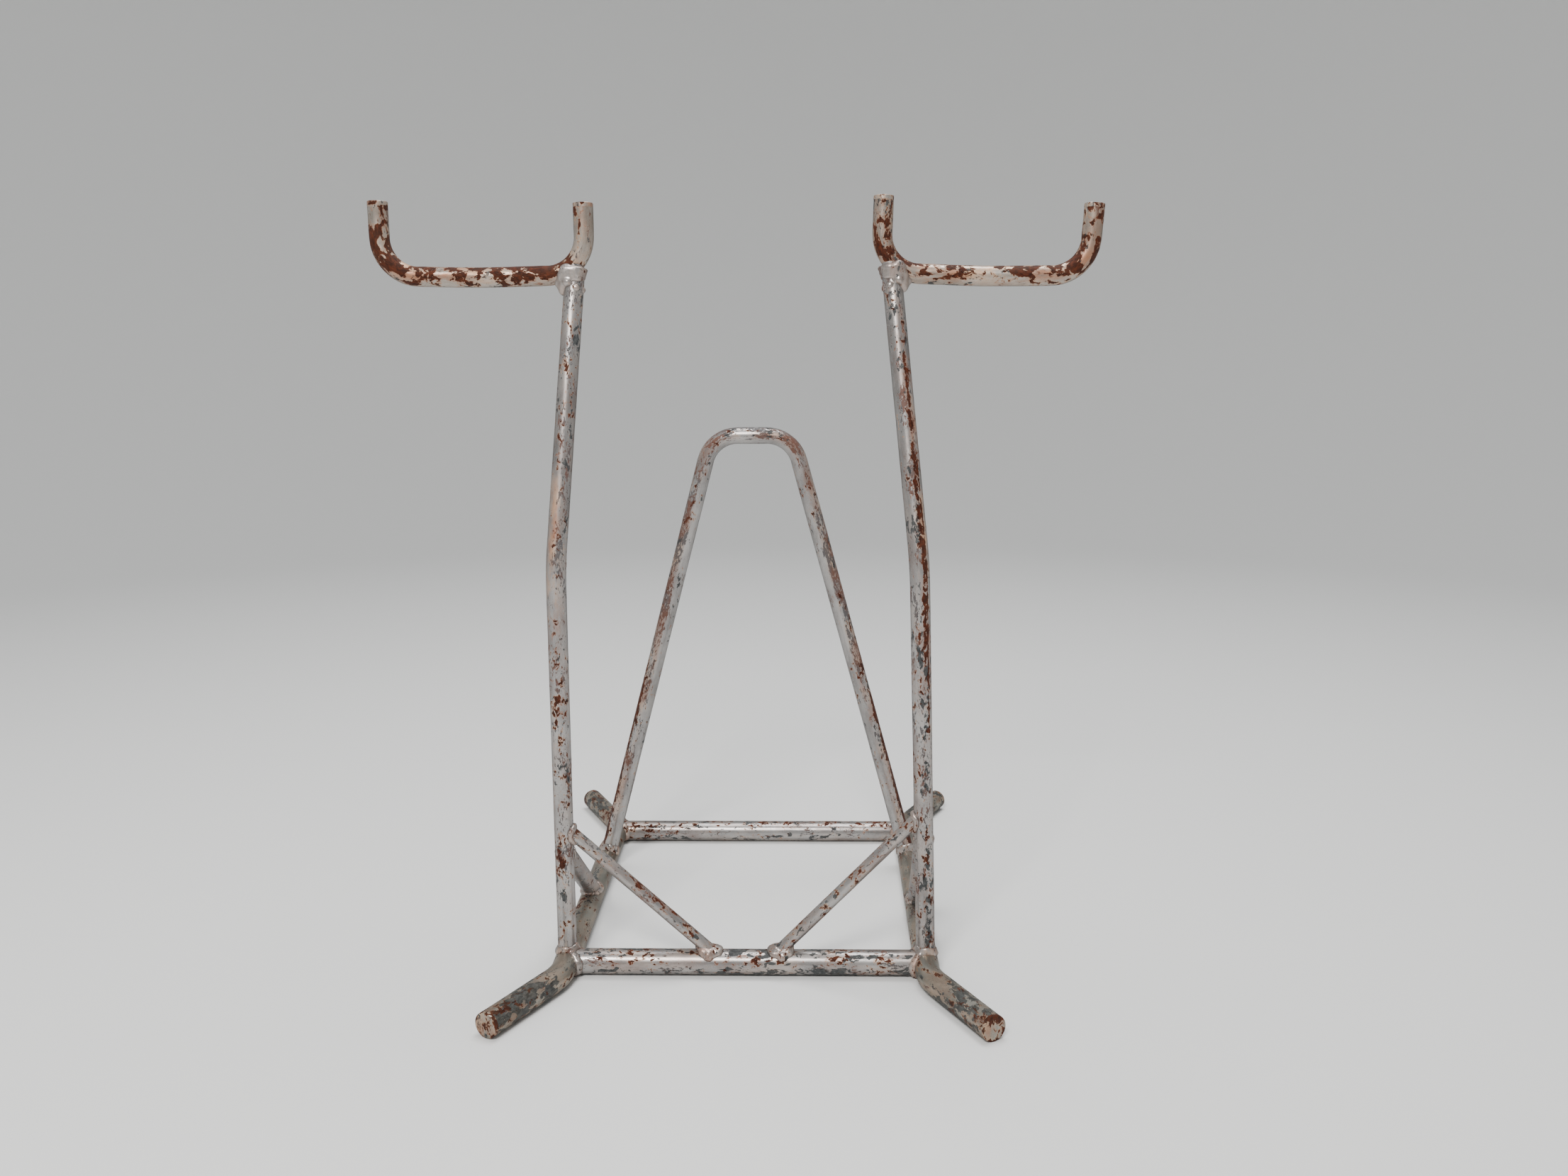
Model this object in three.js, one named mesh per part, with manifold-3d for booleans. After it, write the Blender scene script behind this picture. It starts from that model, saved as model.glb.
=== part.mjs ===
// Free-standing stand of welded steel tube with two open cradles on top.
// Millimetres, +Z up. The origin is on the floor, under the middle of the stand's bounding box.
import * as THREE from 'three';
import { mergeVertices } from 'three/addons/utils/BufferGeometryUtils.js';
import Module from 'manifold-3d';

const wasm = await Module();
wasm.setup();

// ---------------------------------------------------------------- driving dimensions

// Tube stock: outside diameter, wall, flat sides round the tube, weld bead leg that suits it.
const MAIN_TUBE = { od: 25.4, wall: 2, sides: 20, bead: 3 };
const FRAME_TUBE = { od: 19.05, wall: 1.6, sides: 16, bead: 2.8 };
const BRACE_TUBE = { od: 12.7, wall: 1.2, sides: 12, bead: 2.4 };

const JOINT_GAP = 0.3; // air between pieces that meet
const FLOOR_GAP = 0.5; // welds stay this far above the floor
const CAP_THICKNESS = 2.5; // discs that close the tube ends

// Base: two rails that lie on the floor, joined by a front and a rear cross tube.
const RAIL_GAUGE = 362; // between the rail centres, at the front cross tube
const RAIL_SPREAD = 10; // how much further apart the rails are at the rear cross tube
const BASE_DEPTH = 356; // from the front cross tube to the rear one
const FOOT_SPLAY = THREE.MathUtils.degToRad(28);
const FOOT_BEND_RADIUS = 60;
const FRONT_FOOT = { overhang: 30, length: 107 }; // overhang: straight rail past the cross tube
const REAR_FOOT = { overhang: 18, length: 117 };

// Uprights: up from the front of the rails, forward to a kink, then back to the cradles.
const UPRIGHT_SETBACK = 5;
const KINK_HEIGHT = 419;
const KINK_FORWARD = 24;
const KINK_GAUGE = 339;
const KINK_RADIUS = 140;
const KINK_LEAN = 2.5; // the frame leans to its left, by this much at the kink
const TOP_LEAN = 7; // and by this much at the cradles
const UPRIGHT_TOP_GAUGE = 296;

// Cradles: a bar with two prongs that stand up from it.
const SEAT_HEIGHT = 689; // centre of the bar
const CRADLE_SETBACK = 37;
const CRADLE_GAUGE = 279; // between the two inner prongs
const PRONG_SPACING = 193.5;
const CRADLE_BEND_RADIUS = 36;
const BAR_SAG = 2.5;
const BAR_SAG_RADIUS = 1000;

// Hoop: an arch that stands on the rails, in front of the rear cross tube.
const HOOP_SETBACK = 271;
const HOOP_HEIGHT = 528.5;
const HOOP_FORWARD_LEAN = 33;
const HOOP_SHOULDER = 91; // between the corners that the bends round off
const HOOP_BEND_RADIUS = 38;

const FRONT_BRACE_FOOT = 22; // each side of the middle of the front cross tube

// What the two sides don't share. A rise is from the seat height to the top of the prong's cap,
// and barDrop is how far below the seat height the outer end of the bar is.
const SIDES = [
  {
    name: 'left',
    sign: -1,
    frontBraceTop: 158,
    sideBraceTop: 131,
    sideBraceFoot: 166,
    barDrop: 0,
    innerProng: { rise: 65, lean: 0 },
    outerProng: { rise: 68, lean: 0 },
  },
  {
    name: 'right',
    sign: 1,
    frontBraceTop: 173,
    sideBraceTop: 147,
    sideBraceFoot: 138,
    barDrop: 4,
    innerProng: { rise: 69, lean: 2 },
    outerProng: { rise: 60, lean: 4 },
  },
];

// ---------------------------------------------------------------- sizes that follow

const BEND_STEP = THREE.MathUtils.degToRad(15); // one ring of the mesh for each step of a bend
// A rail rests on one of its flat sides, so its centre is one apothem above the floor.
const RAIL_HEIGHT = (MAIN_TUBE.od / 2) * Math.cos(Math.PI / MAIN_TUBE.sides);

// ---------------------------------------------------------------- materials

const FINISHES = {
  paint: { color: 0xb4aea6, roughness: 0.42, metalness: 0.55 },
  wornPaint: { color: 0x6e675b, roughness: 0.62, metalness: 0.35 },
  rustyPaint: { color: 0x94857a, roughness: 0.55, metalness: 0.4 },
  weld: { color: 0xc2bcb4, roughness: 0.36, metalness: 0.6 },
};

// ---------------------------------------------------------------- routes

// The centre line of a tube as rings: a point and a heading each, close together only in bends.
class Route extends THREE.Curve {
  constructor(rings) {
    super();
    this.rings = rings;
  }

  ring(share) {
    return this.rings[Math.round(share * (this.rings.length - 1))];
  }

  getPointAt(share) {
    return this.ring(share).point.clone();
  }

  getTangentAt(share) {
    return this.ring(share).heading.clone();
  }
}

function headingFrom(start, end) {
  return end.clone().sub(start).normalize();
}

function bendRings(before, corner, after, radius) {
  const entry = headingFrom(before, corner);
  const exit = headingFrom(corner, after);
  const turn = entry.angleTo(exit);
  const inward = exit.clone().addScaledVector(entry, -exit.dot(entry)).normalize();
  const start = corner.clone().addScaledVector(entry, -radius * Math.tan(turn / 2));
  const centre = start.clone().addScaledVector(inward, radius);
  const count = Math.max(2, Math.ceil(turn / BEND_STEP));
  const rings = [];
  for (let i = 0; i <= count; i += 1) {
    const angle = (turn * i) / count;
    const point = centre.clone();
    point.addScaledVector(inward, -radius * Math.cos(angle));
    point.addScaledVector(entry, radius * Math.sin(angle));
    const heading = entry.clone().multiplyScalar(Math.cos(angle));
    heading.addScaledVector(inward, Math.sin(angle));
    rings.push({ point, heading });
  }
  return rings;
}

// A line through the corners, each inner corner rounded to its radius.
function bentRoute(corners, radii) {
  const last = corners.length - 1;
  const rings = [{ point: corners[0], heading: headingFrom(corners[0], corners[1]) }];
  for (let i = 1; i < last; i += 1) {
    rings.push(...bendRings(corners[i - 1], corners[i], corners[i + 1], radii[i - 1]));
  }
  rings.push({ point: corners[last], heading: headingFrom(corners[last - 1], corners[last]) });
  return new Route(rings);
}

function straightRoute(start, end) {
  return bentRoute([start, end], []);
}

// ---------------------------------------------------------------- solids

function polygon(radius, sides, flatDown) {
  const first = flatDown ? 0.5 : 0;
  return Array.from({ length: sides }, (_, i) => {
    const angle = ((i + first) * 2 * Math.PI) / sides;
    return new THREE.Vector2(radius * Math.cos(angle), radius * Math.sin(angle));
  });
}

function sweep(member, outerRadius, innerRadius) {
  const { route, tube } = member;
  const flatDown = tube === MAIN_TUBE;
  const shape = new THREE.Shape(polygon(outerRadius, tube.sides, flatDown));
  if (innerRadius > 0) {
    shape.holes.push(new THREE.Path(polygon(innerRadius, tube.sides, flatDown)));
  }
  const steps = route.rings.length - 1;
  return new THREE.ExtrudeGeometry(shape, { steps, extrudePath: route, bevelEnabled: false });
}

function toManifold(geometry) {
  const bare = geometry.clone();
  bare.deleteAttribute('normal');
  bare.deleteAttribute('uv');
  const joined = mergeVertices(bare, 1e-4);
  const vertProperties = new Float32Array(joined.attributes.position.array);
  const triVerts = new Uint32Array(joined.index.array);
  return new wasm.Manifold(new wasm.Mesh({ numProp: 3, vertProperties, triVerts }));
}

function toGeometry(solid) {
  const mesh = solid.getMesh();
  const geometry = new THREE.BufferGeometry();
  geometry.setAttribute('position', new THREE.BufferAttribute(mesh.vertProperties, 3));
  geometry.setIndex(new THREE.BufferAttribute(mesh.triVerts, 1));
  geometry.computeVertexNormals();
  return geometry;
}

function tubeSolid(member) {
  const radius = member.tube.od / 2;
  return toManifold(sweep(member, radius, radius - member.tube.wall));
}

// The full round outside of a tube, grown by a margin, with no bore.
function envelope(member, margin) {
  return toManifold(sweep(member, member.tube.od / 2 + margin, 0));
}

// Cuts can leave a scrap inside the tube that was cut away, and only the piece itself is kept.
function largestPart(solid) {
  const parts = solid.decompose();
  return parts.reduce((best, part) => (part.volume() > best.volume() ? part : best));
}

// A tube with its ends shaped to the tubes that it stands against.
function copedTube(member, hosts) {
  let solid = tubeSolid(member);
  for (const host of hosts) {
    solid = solid.subtract(envelope(host, JOINT_GAP));
  }
  return largestPart(solid);
}

// The space round a branch where it meets its hosts, within a bead's leg of both.
function seamSpace({ branch, hosts }) {
  const leg = Math.min(branch.tube.bead, ...hosts.map((host) => host.tube.bead));
  const reach = hosts.map((host) => envelope(host, leg));
  return envelope(branch, leg).intersect(wasm.Manifold.union(reach));
}

// One bead of weld along one or more seams, clear of the beads on its neighbours.
function weldBead(seams, neighbours = []) {
  let solid = wasm.Manifold.union(seams.map(seamSpace));
  const joined = new Set(seams.flatMap(({ branch, hosts }) => [branch, ...hosts]));
  for (const member of joined) {
    solid = solid.subtract(envelope(member, JOINT_GAP));
  }
  for (const member of neighbours) {
    solid = solid.subtract(envelope(member, member.tube.bead + JOINT_GAP));
  }
  return largestPart(solid.trimByPlane([0, 0, 1], FLOOR_GAP));
}

// ---------------------------------------------------------------- members

function vec(x, y, z) {
  return new THREE.Vector3(x, y, z);
}

// The centre of a rail, this far behind the front cross tube.
function pointOnRail({ sign }, setback) {
  const gauge = RAIL_GAUGE + RAIL_SPREAD * (setback / BASE_DEPTH);
  return vec((sign * gauge) / 2, setback, RAIL_HEIGHT);
}

function railCorners(side) {
  const { sign } = side;
  const reach = Math.sin(FOOT_SPLAY);
  const run = Math.cos(FOOT_SPLAY);
  const frontKnee = pointOnRail(side, -FRONT_FOOT.overhang);
  const rearKnee = pointOnRail(side, BASE_DEPTH + REAR_FOOT.overhang);
  const frontEnd = frontKnee.clone();
  frontEnd.add(vec(sign * reach, -run, 0).multiplyScalar(FRONT_FOOT.length));
  const rearEnd = rearKnee.clone();
  rearEnd.add(vec(sign * reach, run, 0).multiplyScalar(REAR_FOOT.length));
  return [frontEnd, frontKnee, rearKnee, rearEnd];
}

function cradleCorners({ sign, innerProng, outerProng, barDrop }) {
  const innerX = sign * (CRADLE_GAUGE / 2) - TOP_LEAN;
  const outerX = innerX + sign * PRONG_SPACING;
  const middleX = (innerX + outerX) / 2;
  return [
    vec(innerX + innerProng.lean, CRADLE_SETBACK, SEAT_HEIGHT + innerProng.rise),
    vec(innerX, CRADLE_SETBACK, SEAT_HEIGHT),
    vec(middleX, CRADLE_SETBACK, SEAT_HEIGHT - barDrop / 2 - BAR_SAG),
    vec(outerX, CRADLE_SETBACK, SEAT_HEIGHT - barDrop),
    vec(outerX + outerProng.lean, CRADLE_SETBACK, SEAT_HEIGHT + outerProng.rise),
  ];
}

// Where the capped tube itself stops, short of the outer face of its cap.
function tubeEnd(end, inner) {
  const back = headingFrom(end, inner);
  return end.clone().addScaledVector(back, CAP_THICKNESS + JOINT_GAP);
}

function cappedRoute(corners, radii) {
  const last = corners.length - 1;
  const ends = [tubeEnd(corners[0], corners[1]), tubeEnd(corners[last], corners[last - 1])];
  return bentRoute([ends[0], ...corners.slice(1, last), ends[1]], radii);
}

function railMember(side) {
  const radii = [FOOT_BEND_RADIUS, FOOT_BEND_RADIUS];
  return { tube: MAIN_TUBE, route: cappedRoute(railCorners(side), radii) };
}

function cradleMember(side) {
  const radii = [CRADLE_BEND_RADIUS, BAR_SAG_RADIUS, CRADLE_BEND_RADIUS];
  return { tube: FRAME_TUBE, route: cappedRoute(cradleCorners(side), radii) };
}

function crossMember(setback) {
  const [left, right] = SIDES.map((side) => pointOnRail(side, setback));
  return { tube: MAIN_TUBE, route: straightRoute(left, right) };
}

// The upright runs up to the centre line of the cradle's inner bend.
function uprightCorners(side) {
  const { sign } = side;
  const fromProng = (UPRIGHT_TOP_GAUGE - CRADLE_GAUGE) / 2;
  const fromBendCentre = CRADLE_BEND_RADIUS - fromProng;
  const drop = Math.sqrt(CRADLE_BEND_RADIUS ** 2 - fromBendCentre ** 2);
  const topHeight = SEAT_HEIGHT + CRADLE_BEND_RADIUS - drop;
  return [
    pointOnRail(side, UPRIGHT_SETBACK),
    vec(sign * (KINK_GAUGE / 2) - KINK_LEAN, -KINK_FORWARD, KINK_HEIGHT),
    vec(sign * (UPRIGHT_TOP_GAUGE / 2) - TOP_LEAN, CRADLE_SETBACK, topHeight),
  ];
}

function uprightMember(side) {
  return { tube: FRAME_TUBE, route: bentRoute(uprightCorners(side), [KINK_RADIUS]) };
}

function pointOnUpright(side, height) {
  const [foot, kink] = uprightCorners(side);
  return foot.clone().lerp(kink, (height - foot.z) / (kink.z - foot.z));
}

function hoopMember() {
  const topSetback = HOOP_SETBACK - HOOP_FORWARD_LEAN;
  const [leftFoot, rightFoot] = SIDES.map((side) => pointOnRail(side, HOOP_SETBACK));
  const corners = [
    leftFoot,
    vec(-HOOP_SHOULDER / 2, topSetback, HOOP_HEIGHT),
    vec(HOOP_SHOULDER / 2, topSetback, HOOP_HEIGHT),
    rightFoot,
  ];
  return { tube: FRAME_TUBE, route: bentRoute(corners, [HOOP_BEND_RADIUS, HOOP_BEND_RADIUS]) };
}

function frontBraceMember(side) {
  const foot = vec(side.sign * FRONT_BRACE_FOOT, 0, RAIL_HEIGHT);
  return { tube: BRACE_TUBE, route: straightRoute(foot, pointOnUpright(side, side.frontBraceTop)) };
}

function sideBraceMember(side) {
  const foot = pointOnRail(side, side.sideBraceFoot);
  return { tube: FRAME_TUBE, route: straightRoute(foot, pointOnUpright(side, side.sideBraceTop)) };
}

// ---------------------------------------------------------------- assembly

const stand = new THREE.Group();

function addMesh(name, geometry, finish) {
  const mesh = new THREE.Mesh(geometry, new THREE.MeshStandardMaterial(FINISHES[finish]));
  mesh.name = name;
  stand.add(mesh);
  return mesh;
}

function addSolid(name, solid, finish) {
  return addMesh(name, toGeometry(solid), finish);
}

// A disc on the end of a tube, its outer face at the corner where the route was drawn to.
function addCap(name, tube, end, inner, finish) {
  const disc = new THREE.CylinderGeometry(tube.od / 2, tube.od / 2, CAP_THICKNESS, tube.sides);
  if (tube === MAIN_TUBE) {
    disc.rotateY(Math.PI / tube.sides);
  }
  const outward = headingFrom(inner, end);
  const cap = addMesh(name, disc, finish);
  cap.position.copy(end).addScaledVector(outward, -CAP_THICKNESS / 2);
  cap.quaternion.setFromUnitVectors(vec(0, 1, 0), outward);
}

function addCaps(prefix, tube, corners, labels, finish) {
  const last = corners.length - 1;
  addCap(`${prefix}_${labels[0]}`, tube, corners[0], corners[1], finish);
  addCap(`${prefix}_${labels[1]}`, tube, corners[last], corners[last - 1], finish);
}

const frontCross = crossMember(0);
const rearCross = crossMember(BASE_DEPTH);
const hoop = hoopMember();
const rails = SIDES.map(railMember);

addSolid('front_cross_tube', copedTube(frontCross, rails), 'paint');
addSolid('rear_cross_tube', copedTube(rearCross, rails), 'paint');
addSolid('hoop', copedTube(hoop, rails), 'paint');

SIDES.forEach((side, index) => {
  const { name } = side;
  const rail = rails[index];
  const cradle = cradleMember(side);
  const upright = uprightMember(side);
  const frontBrace = frontBraceMember(side);
  const sideBrace = sideBraceMember(side);

  addSolid(`rail_${name}`, tubeSolid(rail), 'wornPaint');
  addCaps(`foot_cap_${name}`, MAIN_TUBE, railCorners(side), ['front', 'rear'], 'wornPaint');
  addSolid(`cradle_${name}`, tubeSolid(cradle), 'rustyPaint');
  addCaps(`cradle_cap_${name}`, FRAME_TUBE, cradleCorners(side), ['inner', 'outer'], 'rustyPaint');
  addSolid(`upright_${name}`, copedTube(upright, [rail, frontCross, cradle]), 'paint');
  addSolid(`front_brace_${name}`, copedTube(frontBrace, [frontCross, upright]), 'paint');
  addSolid(`side_brace_${name}`, copedTube(sideBrace, [rail, upright]), 'paint');

  const cornerSeams = [
    { branch: upright, hosts: [rail, frontCross] },
    { branch: frontCross, hosts: [rail] },
  ];
  const addWeld = (label, branch, host, neighbours) => {
    addSolid(`weld_${label}_${name}`, weldBead([{ branch, hosts: [host] }], neighbours), 'weld');
  };
  addSolid(`weld_front_corner_${name}`, weldBead(cornerSeams), 'weld');
  addWeld('rear_corner', rearCross, rail);
  addWeld('hoop_foot', hoop, rail);
  addWeld('cradle', upright, cradle);
  addWeld('front_brace_foot', frontBrace, frontCross);
  addWeld('front_brace_top', frontBrace, upright);
  addWeld('side_brace_foot', sideBrace, rail);
  addWeld('side_brace_top', sideBrace, upright, [frontBrace]);
});

const box = new THREE.Box3().setFromObject(stand, true);
const middle = box.getCenter(vec(0, 0, 0));
stand.position.set(-middle.x, -middle.y, -box.min.z);

export default stand;
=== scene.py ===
"""The looks of a welded tube floor stand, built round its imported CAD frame. Metres, +Z up."""

import math

import bmesh
import bpy
import numpy as np
from mathutils import Matrix, Vector, noise


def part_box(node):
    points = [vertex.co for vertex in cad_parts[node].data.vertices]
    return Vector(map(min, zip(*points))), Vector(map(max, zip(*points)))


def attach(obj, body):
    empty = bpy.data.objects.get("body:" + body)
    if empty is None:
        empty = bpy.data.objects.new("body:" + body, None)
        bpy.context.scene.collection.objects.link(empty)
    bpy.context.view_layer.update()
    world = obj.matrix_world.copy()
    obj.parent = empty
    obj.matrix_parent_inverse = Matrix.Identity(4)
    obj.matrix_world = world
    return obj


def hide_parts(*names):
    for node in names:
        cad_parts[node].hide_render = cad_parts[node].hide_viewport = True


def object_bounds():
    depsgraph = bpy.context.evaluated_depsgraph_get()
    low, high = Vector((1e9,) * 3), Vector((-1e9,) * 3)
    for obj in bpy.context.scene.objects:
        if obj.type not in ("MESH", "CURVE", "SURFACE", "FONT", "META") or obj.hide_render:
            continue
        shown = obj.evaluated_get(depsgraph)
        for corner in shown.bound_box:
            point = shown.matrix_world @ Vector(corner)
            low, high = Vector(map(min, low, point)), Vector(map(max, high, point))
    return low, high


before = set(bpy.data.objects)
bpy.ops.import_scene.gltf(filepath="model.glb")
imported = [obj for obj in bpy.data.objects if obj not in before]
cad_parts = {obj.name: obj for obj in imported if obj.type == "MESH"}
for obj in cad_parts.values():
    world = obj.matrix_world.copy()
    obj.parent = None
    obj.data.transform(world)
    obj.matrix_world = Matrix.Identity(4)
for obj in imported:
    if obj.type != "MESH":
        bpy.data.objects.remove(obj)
cad_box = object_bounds()

# ------------------------------------------------------------------ sizes

MAIN_R = 0.0127  # outside radius of the rails and cross tubes
FRAME_R = 0.009525  # uprights, cradles, hoop and side braces
BRACE_R = 0.00635  # front braces
CAP_THICKNESS = 0.0025

FOOT_SPLAY = math.radians(28)  # how far the feet turn outward from the rails
FOOT_BEND = 0.060  # this and the other bends are radii of the tube's line
FRONT_OVERHANG = 0.030  # straight rail past the cross tubes
REAR_OVERHANG = 0.018
KINK_HEIGHT = 0.419
KINK_FORWARD = 0.024  # from the front cross tube's line to the uprights' kinks
KINK_GAUGE = 0.339  # between the two kinks
KINK_LEAN = 0.0025  # how far both kinks are off to the left
KINK_BEND = 0.140
UPRIGHT_SETBACK = 0.005  # from the front cross tube's line back to the foot of an upright
UPRIGHT_TOP_OUTSET = 0.0085  # from the cradle's inner prong to the top of the upright
SEAT_HEIGHT = 0.689  # of the cradle bars' lines at the inner prongs
CROSS_END_GAP = 0.0029  # from the corner of a coped cross tube to the rail's centre
CRADLE_BEND = 0.036
BAR_SAG = 0.0025
BAR_SAG_BEND = 1.0
HOOP_SHOULDER = 0.091  # between the two corners at the top of the hoop
HOOP_BEND = 0.038
FRONT_BRACE_FOOT = 0.022  # from the middle of the front cross tube

# A brace's top is a height, and a side brace's foot is measured back from the front cross tube.
# The lean is how far the inner and the outer prong's tips stand to the right of their bends.
SIDES = [
    {"name": "left", "sign": -1, "front_top": 0.158, "side_top": 0.131, "side_foot": 0.166,
     "lean": (0.0, 0.0), "bar_drop": 0.0},
    {"name": "right", "sign": 1, "front_top": 0.173, "side_top": 0.147, "side_foot": 0.138,
     "lean": (0.002, 0.004), "bar_drop": 0.004},
]

COLLAR_LUMPS = [  # below the bar's line, out from the upright's axis, forward of it, radius
    (0.0105, 0.0105, 0.0, 0.0058),
    (0.0075, 0.0140, 0.0, 0.0052),
    (0.0080, 0.0050, 0.0085, 0.0050),
    (0.0080, 0.0050, -0.0085, 0.0050),
    (0.0150, -0.0070, 0.0, 0.0044),
    (0.0130, -0.0030, 0.0070, 0.0044),
]

KNOB_LUMPS = [  # out along the cross tube from the brace's foot, forward, up, radius
    (0.0200, 0.0040, 0.0125, 0.0068),
    (0.0150, 0.0078, 0.0100, 0.0064),
    (0.0120, 0.0020, 0.0125, 0.0054),
    (0.0165, 0.0030, 0.0075, 0.0066),
]
CRADLE_WELD_TOP = 0.0035  # the highest that the cradle's seam goes, above the bar's line
CRADLE_WELD_SIDE = 0.55  # how much heavier the cradle's bead is on the outer side
SUNK_ABOVE_BAR = 0.002  # where the top of an upright starts to narrow, inside the cradle's weld
SUNK_LENGTH = 0.010
SUNK_SHARE = 0.22  # how much of its radius it loses

RING_STEP = 0.003  # between the rings of a tube's mesh
ARC_STEP = math.radians(5)
SKIN_INSET = 0.00012  # how far the skin lies inside the tube's true radius
DENT_DEPTH, DENT_SCALE = 0.00012, 28  # long shallow waves
PIT_DEPTH, PIT_SCALE = 0.00005, 140
BEND_SQUEEZE = 0.035  # how much a tube flattens in a bend, as a share of its radius
SHARP_TURN = 0.16  # the change of heading across a ring that flattens it fully

SEAM_STEP = 0.00025  # how finely the end of a tube is searched for its seam
VOXEL = 0.0007  # of the remeshed welds
SOFTEN_STEPS = 36
BEAD_SWELL, BEAD_RIPPLE = 0.22, 0.08  # how uneven a bead is: slowly round the joint, and drop by drop
BEAD_TAPER = 0.26  # how much thinner its highest rope is
CRUST_DEPTH, CRUST_SCALE = 0.00055, 150  # roughness of the welds
GRIT_DEPTH, GRIT_SCALE = 0.00014, 420

# The last of these is real dirt on the feet, and painted shade along the undersides of the tubes.
WEAR = ("rust", "slate", "speckle", "stain", "grime_and_underside_shade")
FRONT_FOOT_START = 0.016  # where the worn feet begin, past the cross tubes' lines
REAR_FOOT_START = 0.005
COVER_NONE, COVER_SLOPE = 0.600, 0.19  # the threshold of a fault's noise falls from here as its share grows
CHIP_EDGE = 0.008  # the width of the edge of a flake, in units of its noise
HALO_WIDTH = 0.042  # the same for the stain round the rust

STAIN_COLOURS = (0.32, 0.115, 0.042), (0.50, 0.265, 0.125)
SPECK_COLOURS = (0.105, 0.042, 0.027), (0.055, 0.051, 0.054)
SLATE_COLOURS = (0.018, 0.022, 0.024), (0.075, 0.080, 0.079)
RUST_COLOURS = (0.022, 0.006, 0.0035), (0.092, 0.021, 0.008)
# These dark colours are dirt on the feet, and painted shade on the undersides of the tubes.
DIRT_AND_SHADE_COLOURS = (0.035, 0.030, 0.021), (0.100, 0.085, 0.058)
PAINTS = {  # material, the paint's light and dark, scale of the rust's flakes and of the slate's
    "paint": ("silver_paint", (0.405, 0.390, 0.380), (0.215, 0.205, 0.200), 215, 200),
    "worn_paint": ("worn_silver_paint", (0.36, 0.350, 0.312), (0.185, 0.176, 0.150), 170, 120),
    "rusty_paint": ("rusty_silver_paint", (0.47, 0.425, 0.380), (0.26, 0.218, 0.180), 135, 210),
    "weld": ("weld_paint", (0.46, 0.430, 0.410), (0.27, 0.238, 0.218), 260, 260),
}

CAMERA_PLACE = Vector((0.07016, -1.29493, 0.58763))
CAMERA_YAW, CAMERA_PITCH, CAMERA_ROLL = math.radians(-1.263), math.radians(9.790), math.radians(0.322)
CAMERA_SENSOR, CAMERA_LENS = 36.0, 27.37  # millimetres


# ------------------------------------------------------------------ where the frame says things are

def middle(node):
    low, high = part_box(node)
    return (low + high) / 2


BASE_HEIGHT = middle("front_cross_tube").z
FRONT_Y = middle("front_cross_tube").y
REAR_Y = middle("rear_cross_tube").y
CENTRE_X = middle("hoop").x


def rail_point(side, y):
    """The centre of a rail at this y, on the line through the places where the cross tubes end."""
    places = []
    for node, at in (("front_cross_tube", FRONT_Y), ("rear_cross_tube", REAR_Y)):
        places.append(Vector((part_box(node)[0 if side["sign"] < 0 else 1].x, at, BASE_HEIGHT)))
    point = places[0].lerp(places[1], (y - FRONT_Y) / (REAR_Y - FRONT_Y))
    return point + Vector((side["sign"] * CROSS_END_GAP, 0, 0))


def prong_tip(side, which):
    low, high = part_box(f"cradle_cap_{side['name']}_{which}")
    return Vector(((low.x + high.x) / 2, (low.y + high.y) / 2, high.z))


def prong_foot_x(side, which):
    """Where a prong's line meets the bar's."""
    return prong_tip(side, which).x - side["lean"][("inner", "outer").index(which)]


# ------------------------------------------------------------------ routes

def arc(before, corner, after, radius, step=ARC_STEP):
    """Points on the round corner of a bent tube."""
    entry = (corner - before).normalized()
    leave = (after - corner).normalized()
    turn = entry.angle(leave)
    inward = (leave - entry * leave.dot(entry)).normalized()
    start = corner - entry * (radius * math.tan(turn / 2))
    centre = start + inward * radius
    count = max(2, math.ceil(turn / step))
    angles = [turn * i / count for i in range(count + 1)]
    return [centre - inward * (radius * math.cos(a)) + entry * (radius * math.sin(a)) for a in angles]


def bent_line(corners, radii, step=ARC_STEP):
    points = [corners[0]]
    for i, radius in enumerate(radii, start=1):
        points += arc(corners[i - 1], corners[i], corners[i + 1], radius, step)
    return points + [corners[-1]]


class Member:
    """One tube: its corners, the radius of each bend, its outside radius and how it has aged."""

    def __init__(self, node, slot, corners, radii, radius, wear, sunk_from=None):
        self.node = node
        self.slot = slot
        self.corners = corners
        self.radii = radii
        self.radius = radius
        self.wear = wear
        self.sunk_from = sunk_from  # the height from which it narrows to end inside another tube

    def line(self):
        return bent_line(self.corners, self.radii)


# ------------------------------------------------------------------ wear: how much of each fault, by place

def smooth(low, high, x):
    """0 at low, 1 at high, and level at both; low may be the larger."""
    t = np.clip((x - low) / (high - low), 0, 1)
    return t * t * (3 - 2 * t)


def between(low, high, x, soft=0.03):
    """1 from low to high, with soft ends."""
    return smooth(low - soft, low + soft, x) * (1 - smooth(high - soft, high + soft, x))


def facing(normal, degrees, width):
    """1 where the surface faces this bearing (0 is the front, 90 the right), fading over width."""
    bearing = np.degrees(np.arctan2(normal[:, 0], -normal[:, 1]))
    off = (bearing - degrees + 180) % 360 - 180
    return np.exp(-((off / width) ** 2))


def plain_wear(count, **values):
    """The same amount of each fault everywhere, 0 for those not named."""
    return {key: np.full(count, values.get(key, 0.0)) for key in WEAR}


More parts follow.
